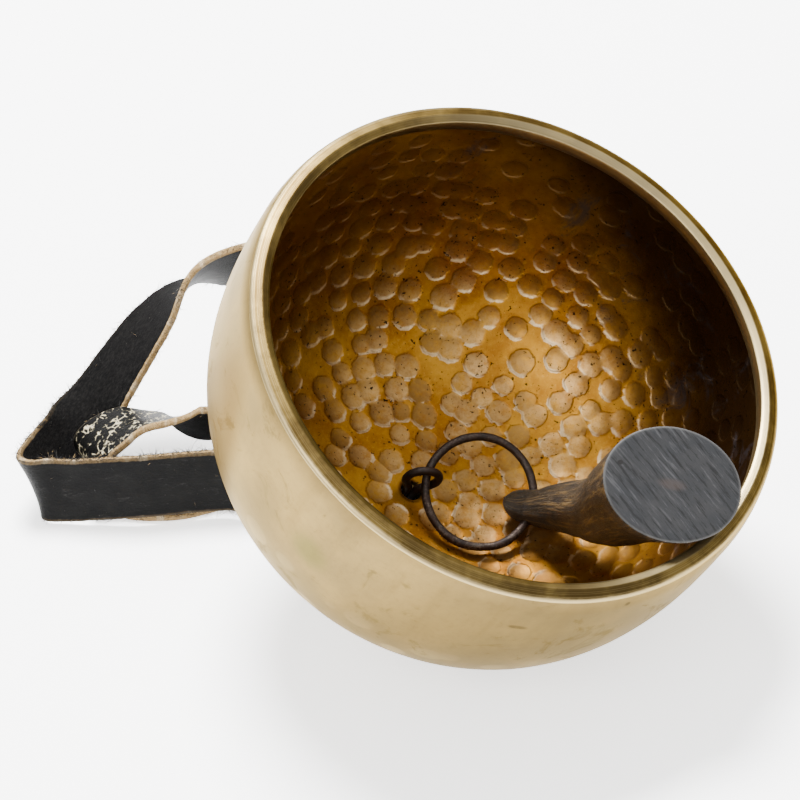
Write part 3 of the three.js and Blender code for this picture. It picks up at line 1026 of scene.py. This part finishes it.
def strap_section(straps, spacing):
    """A flat section with softly rounded corners, as (across, depth)."""
    corner = 0.35 * MM
    half_width = straps.width / 2
    half_depth = straps.thickness / 2
    outline = []
    for x_side, y_side, start in ((1, -1, 270), (1, 1, 0), (-1, 1, 90), (-1, -1, 180)):
        middle = (x_side * (half_width - corner), y_side * (half_depth - corner))
        for step in (0, 30, 60, 90):
            turn = math.radians(start + step)
            outline.append((middle[0] + corner * math.cos(turn), middle[1] + corner * math.sin(turn)))
    outline.append(outline[0])
    return evenly(outline, spacing)[:-1]


def strap_mesh(straps, stations, layers):
    """One band of leather swept along its stations, with its pin holes."""
    mesh = new_mesh("cut")
    curve = Curve([place for place, _ in stations])
    widths = Curve([across for _, across in stations])
    steps = round(curve.marks[-1] / (0.75 * MM))
    run = []
    for i in range(steps + 1):
        t = curve.along(i / steps)
        matrix = placing(curve.at(t), curve.tangent(t), widths.at(t))
        run.append((matrix, i / steps * curve.marks[-1], 1.0))
    sweep(mesh, strap_section(straps, 0.62 * MM), run)
    cut = mesh.verts.layers.float_vector["cut"]
    half = straps.width / 2 / MM
    uneven = 1.2  # how far in from its edges the band is uneven, in millimetres
    for vertex in mesh.verts:
        across, along, depth = vertex[cut]
        matrix = run[min(steps, round(along * MM / curve.marks[-1] * steps))][0]
        edge = max(0.0, (abs(across) - half + uneven) / uneven)
        side = math.copysign(1, across)
        shrink = -0.22 * MM * edge * abs(noise.noise(Vector((along / 3.1, side * 5, depth * 0.4))))
        cockle = 0.12 * MM * noise.noise(Vector((along / 7, across / 5, 3)))
        flutter = 0.12 * MM * edge * noise.noise(Vector((along / 1.7, side * 9, 1)))
        vertex.co += matrix.to_3x3() @ Vector((side * shrink, cockle + flutter, 0))
    for layer in layers:
        depth = -GAP - straps.thickness / 2 - layer * straps.layer_pitch
        point = BOWL_FRAME @ Vector((0, 0, depth))
        drill(mesh, point, BOWL_AXIS, straps.pin_hole_radius, straps.thickness * 0.6)
    return mesh


def loose_fibres(straps, stations, seed, count):
    """Short tapered fibres that stand out of the raw edges and the flesh side."""
    chance = random.Random(seed)
    curve = Curve([place for place, _ in stations])
    widths = Curve([across for _, across in stations])
    mesh = new_mesh()
    for _ in range(count):
        t = curve.along(chance.uniform(0.1, 0.9))
        matrix = placing(curve.at(t), curve.tangent(t), widths.at(t))
        side = 1 if chance.random() < 0.3 else -1
        inward = chance.random() ** 3 * straps.width if chance.random() < 0.35 else 0.0
        across = side * (straps.width / 2 - inward - 0.1 * MM)
        depth = chance.uniform(-0.5, 0.5) * straps.thickness
        root = matrix @ Vector((across, depth, 0))
        lean = Vector((side * chance.uniform(0.1, 1), chance.uniform(-0.8, 0.8), chance.uniform(-1.5, 1.5)))
        direction = (matrix.to_3x3() @ lean).normalized()
        reach = chance.uniform(0.5, 1.0) ** 2 * straps.fibre_length
        turn = direction.to_track_quat("Z", "Y").to_matrix().to_4x4()
        if min(root.z, (root + direction * reach).z) < straps.fibre_radius:
            continue  # it would end under the floor
        place = Matrix.Translation(root + direction * reach / 2) @ turn
        bmesh.ops.create_cone(
            mesh, cap_ends=True, segments=3, radius1=straps.fibre_radius, radius2=straps.fibre_radius * 0.2,
            depth=reach, matrix=place,
        )
    return mesh


def fibre_material(straps):
    """Loose fibres: black to tan."""
    paint = Paint("leather_fibres")
    place = paint.bowl_place()
    body = paint.mix(paint.step(paint.noise(place, 2), 0.55, 0.66), rgb(5, 5, 5), tuple(straps.edge_colour))
    return paint.finish(base_color=body, roughness=0.9)


BEFORE_START = -100  # millimetres along a strap, short of its start
PAST_END = 400  # and past its end


def leather_material(name, straps, grain_side, crackled, black_from, tan_from):
    """Black leather: a satin grain side, a fuzzy flesh side and pale raw edges.

    The grain side is worn to a white crackle between two places along the strap. One cut edge is black from
    black_from onwards, and the other one up to tan_from.
    """
    paint = Paint(name)
    paint.gloss(0.06)
    cut = paint.layer("cut")
    across, along, depth = paint.parts(cut)
    outer = depth * grain_side
    half = straps.width / 2 / MM
    wander = paint.noise(paint.vector(along, across * 0.2, 0.0), 2.4, 4, 0.7)
    fine = paint.noise(cut, 0.35, 5, 0.75)
    pores = paint.cells(cut, 0.55)
    fuzz = paint.noise(paint.stretched(cut, 1.0, 0.35, 1.0), 0.4, 6, 0.8)
    worn = paint.step(paint.noise(cut, 5, 5, 0.7), 0.35, 0.7)
    grain = paint.mix(worn, tuple(straps.grain_colour), rgb(10, 10, 9))
    creases = paint.noise(paint.stretched(cut, 1.0, 0.25, 1.0), 1.4, 6, 0.8, 0.6)
    # the creases are lightened to grey, partly as worn folds and partly as a painted sheen on them
    grain = paint.mix(paint.step(creases, 0.56, 0.7) * 0.7, grain, rgb(40, 39, 38))
    flesh = paint.mix(paint.step(fuzz, 0.4, 0.72), rgb(2, 2, 2), rgb(22, 21, 20))
    flesh_side = paint.step(outer, 0.3, -0.3)
    body = paint.mix(flesh_side, grain, flesh)
    crackle = paint.cells(paint.stretched(cut, 0.8, 1.0, 0.2), 1.7, 1.0, "DISTANCE_TO_EDGE")
    start, end = crackled
    bend = paint.step(along, start, start + 10) * paint.step(along, end + 10, end)
    cracks = paint.step(crackle + fine * 0.12, 0.15, 0.08) * bend * (1 - flesh_side)
    flaked = paint.step(paint.noise(cut, 3.2, 6, 0.75), 0.5, 0.56)
    body = paint.mix(cracks * flaked * 0.9, body, rgb(176, 166, 138))
    edge = half - 0.1 - wander * 0.7 - fine * 0.6
    reach = across.sum("ABSOLUTE", across)
    ragged = along + wander * 20.0
    left_black = paint.step(across, 0.0, -1.0) * paint.step(ragged, black_from, black_from + 6)
    right_black = paint.step(across, 0.0, 1.0) * paint.step(ragged, tan_from, tan_from - 6)
    blackened = (left_black + right_black) * 0.9
    thin = 1 - paint.step(across, 0.0, -1.0) * paint.step(depth * depth, 0.1, 0.4) * 0.75
    raw = paint.step(reach - edge, -0.12, 0.12) * (1 - blackened) * thin
    tan = paint.mix(paint.step(fine, 0.35, 0.7), tuple(straps.edge_colour), rgb(98, 74, 44))
    tan = paint.mix(paint.step(wander, 0.5, 0.7) * 0.6, tan, rgb(186, 172, 144))
    body = paint.mix(raw, body, tan)
    dust = paint.step(paint.noise(cut, 0.7, 3, 0.6), 0.73, 0.77)
    body = paint.mix(dust * 0.6, body, rgb(110, 104, 96))
    height = fuzz * 0.4 * flesh_side + pores * 0.08 + fine * 0.06 + raw * fine * 0.4 + creases * 0.25
    roughness = 0.38 + flesh_side * 0.45 + raw * 0.4 + fine * 0.15
    return paint.finish(base_color=body, roughness=roughness, normal=paint.bump(height, MM, 0.7))


# ---- Operators ----------------------------------------------------------------------------------


class MakeBowl(bpy.types.Operator):
    """Makes the hammered bowl"""

    bl_idname = "singing_bowl.make_bowl"
    bl_label = "Bowl"

    def execute(self, context):
        settings = context.scene.bowl_settings
        materials = [outside_material(settings), lip_material(), inside_material(settings)]
        finished(bowl_mesh(settings), "hammered_bowl", materials, "bowl", "bowl")
        return {"FINISHED"}


class MakeIron(bpy.types.Operator):
    """Makes the wire eye and the ring"""

    bl_idname = "singing_bowl.make_iron"
    bl_label = "Eye and ring"

    def execute(self, context):
        settings = context.scene.iron_settings
        straps = context.scene.strap_settings
        eye_iron = iron_material("rusty_iron_eye", settings, 0.1)
        ring_iron = iron_material("rusty_iron_ring", settings, 0.9)
        finished(eye_mesh(settings, straps), "iron_eye", [eye_iron], "suspension", "wire_eye")
        finished(ring_mesh(settings), "iron_ring", [ring_iron], "ring", "clapper_ring")
        return {"FINISHED"}


class MakeHorn(bpy.types.Operator):
    """Makes the horn clapper"""

    bl_idname = "singing_bowl.make_horn"
    bl_label = "Horn clapper"

    def execute(self, context):
        settings = context.scene.horn_settings
        mesh = horn_mesh(settings, context.scene.iron_settings)
        materials = [horn_material(settings), sawn_material(settings)]
        finished(mesh, "horn_clapper_body", materials, "clapper", "horn_clapper")
        return {"FINISHED"}


class MakeStraps(bpy.types.Operator):
    """Makes the two loops of the leather strap"""

    bl_idname = "singing_bowl.make_straps"
    bl_label = "Leather strap"

    def execute(self, context):
        straps = context.scene.strap_settings
        outer = leather_material(
            "black_leather_outer", straps, grain_side=1, crackled=(PAST_END, PAST_END), black_from=124,
            tan_from=118,
        )
        inner = leather_material(
            "black_leather_inner", straps, grain_side=-1, crackled=(70, 125), black_from=BEFORE_START,
            tan_from=BEFORE_START,
        )
        outer_mesh = strap_mesh(straps, outer_stations(straps), (0, 2))
        inner_mesh = strap_mesh(straps, inner_stations(straps), (1, 3))
        finished(outer_mesh, "outer_strap_loop", [outer], "suspension", "strap_outer")
        finished(inner_mesh, "inner_strap_loop", [inner], "suspension", "strap_inner")
        fibres = fibre_material(straps)
        outer_fibres = loose_fibres(straps, outer_stations(straps), 5, 2200)
        inner_fibres = loose_fibres(straps, inner_stations(straps), 6, 700)
        finished(outer_fibres, "outer_strap_fibres", [fibres], "suspension", None)
        finished(inner_fibres, "inner_strap_fibres", [fibres], "suspension", None)
        return {"FINISHED"}


class MakeStudio(bpy.types.Operator):
    """Makes the floor, the lights and the camera"""

    bl_idname = "singing_bowl.make_studio"
    bl_label = "Studio"

    def execute(self, context):
        settings = context.scene.studio_settings
        make_floor(settings)
        make_lights(context, settings)
        make_camera(context, settings)
        return {"FINISHED"}


FLOOR_HALF_WIDTH = 6
LIGHTS_AIM = Vector((0, 0, 0.04))
KEY_PLACE = (-0.15, 0.42, 1.1)
FILL_PLACE = (-0.5, -0.9, 0.8)
FILL_SHARE = 0.18  # of the key light's power
CAMERA_AIM = CROWN + Vector((-0.00175, -0.03524, 0.05345))


def make_floor(settings):
    """A wide plain floor that glows a little, so that it stays pale away from the lights."""
    mesh = new_mesh()
    bmesh.ops.create_grid(mesh, x_segments=1, y_segments=1, size=FLOOR_HALF_WIDTH)
    data = bpy.data.meshes.new("floor")
    mesh.to_mesh(data)
    mesh.free()
    paint = Paint("plain_floor")
    paint.shader.inputs["Emission Strength"].default_value = settings.floor_glow
    data.materials.append(
        paint.finish(base_color=tuple(settings.floor_colour), roughness=0.9, emission_color=(1, 1, 1, 1))
    )
    floor = bpy.data.objects.new("floor", data)
    bpy.context.scene.collection.objects.link(floor)


def area_light(name, size, power, place):
    """A round soft light that points at the object."""
    lamp = bpy.data.lights.new(name, "AREA")
    lamp.shape = "DISK"
    lamp.size = size
    lamp.energy = power
    light = bpy.data.objects.new(name, lamp)
    bpy.context.scene.collection.objects.link(light)
    light.location = place
    light.rotation_euler = (LIGHTS_AIM - Vector(place)).to_track_quat("-Z", "Y").to_euler()


def make_lights(context, settings):
    """A sky that is brighter overhead than at the horizon, a key light and a weak fill light."""
    world = bpy.data.worlds.new("studio")
    world.use_nodes = True
    tree = world.node_tree
    background = tree.nodes["Background"]
    background.inputs["Strength"].default_value = settings.sky
    place = tree.nodes.new("ShaderNodeTexCoord")
    height = tree.nodes.new("ShaderNodeSeparateXYZ")
    fade = tree.nodes.new("ShaderNodeMapRange")
    fade.inputs["From Min"].default_value = -0.05
    fade.inputs["From Max"].default_value = 0.75
    fade.inputs["To Min"].default_value = settings.horizon
    tree.links.new(place.outputs["Generated"], height.inputs[0])
    tree.links.new(height.outputs[2], fade.inputs["Value"])
    tree.links.new(fade.outputs[0], background.inputs["Color"])
    context.scene.world = world
    area_light("key", 0.5, settings.key_power, KEY_PLACE)
    area_light("fill", 0.8, settings.key_power * FILL_SHARE, FILL_PLACE)


def make_camera(context, settings):
    """A camera with a long lens, level from side to side and looking down at the object."""
    back = Vector((0, -math.cos(settings.elevation), math.sin(settings.elevation)))
    data = bpy.data.cameras.new("camera")
    data.sensor_width = 36
    data.lens = settings.lens
    camera = bpy.data.objects.new("camera", data)
    context.scene.collection.objects.link(camera)
    camera.location = CAMERA_AIM + back * settings.distance
    camera.rotation_euler = (-back).to_track_quat("-Z", "Y").to_euler()
    context.scene.camera = camera


class SingingBowlPanel(bpy.types.Panel):
    """Lists the pieces and their settings"""

    bl_idname = "VIEW3D_PT_singing_bowl"
    bl_label = "Singing bowl"
    bl_space_type = "VIEW_3D"
    bl_region_type = "UI"
    bl_category = "Singing bowl"

    def draw(self, context):
        for group, makers in PANEL_ROWS:
            box = self.layout.box()
            settings = getattr(context.scene, group)
            for name in settings.bl_rna.properties.keys():
                if name not in ("rna_type", "name"):
                    box.prop(settings, name)
            for maker in makers:
                box.operator(maker.bl_idname)


PANEL_ROWS = (
    ("bowl_settings", (MakeBowl,)),
    ("iron_settings", (MakeIron,)),
    ("horn_settings", (MakeHorn,)),
    ("strap_settings", (MakeStraps,)),
    ("studio_settings", (MakeStudio,)),
)
GROUPS = {
    "bowl_settings": BowlSettings,
    "iron_settings": IronSettings,
    "horn_settings": HornSettings,
    "strap_settings": StrapSettings,
    "studio_settings": StudioSettings,
}
CLASSES = (*GROUPS.values(), MakeBowl, MakeIron, MakeHorn, MakeStraps, MakeStudio, SingingBowlPanel)


def register():
    for made in CLASSES:
        bpy.utils.register_class(made)
    for name, group in GROUPS.items():
        setattr(bpy.types.Scene, name, bpy.props.PointerProperty(type=group))


def unregister():
    for name in GROUPS:
        delattr(bpy.types.Scene, name)
    for made in reversed(CLASSES):
        bpy.utils.unregister_class(made)


def main():
    register()
    bpy.ops.singing_bowl.make_studio()
    bpy.ops.singing_bowl.make_bowl()
    bpy.ops.singing_bowl.make_iron()
    bpy.ops.singing_bowl.make_horn()
    bpy.ops.singing_bowl.make_straps()


if __name__ == "__main__":
    main()
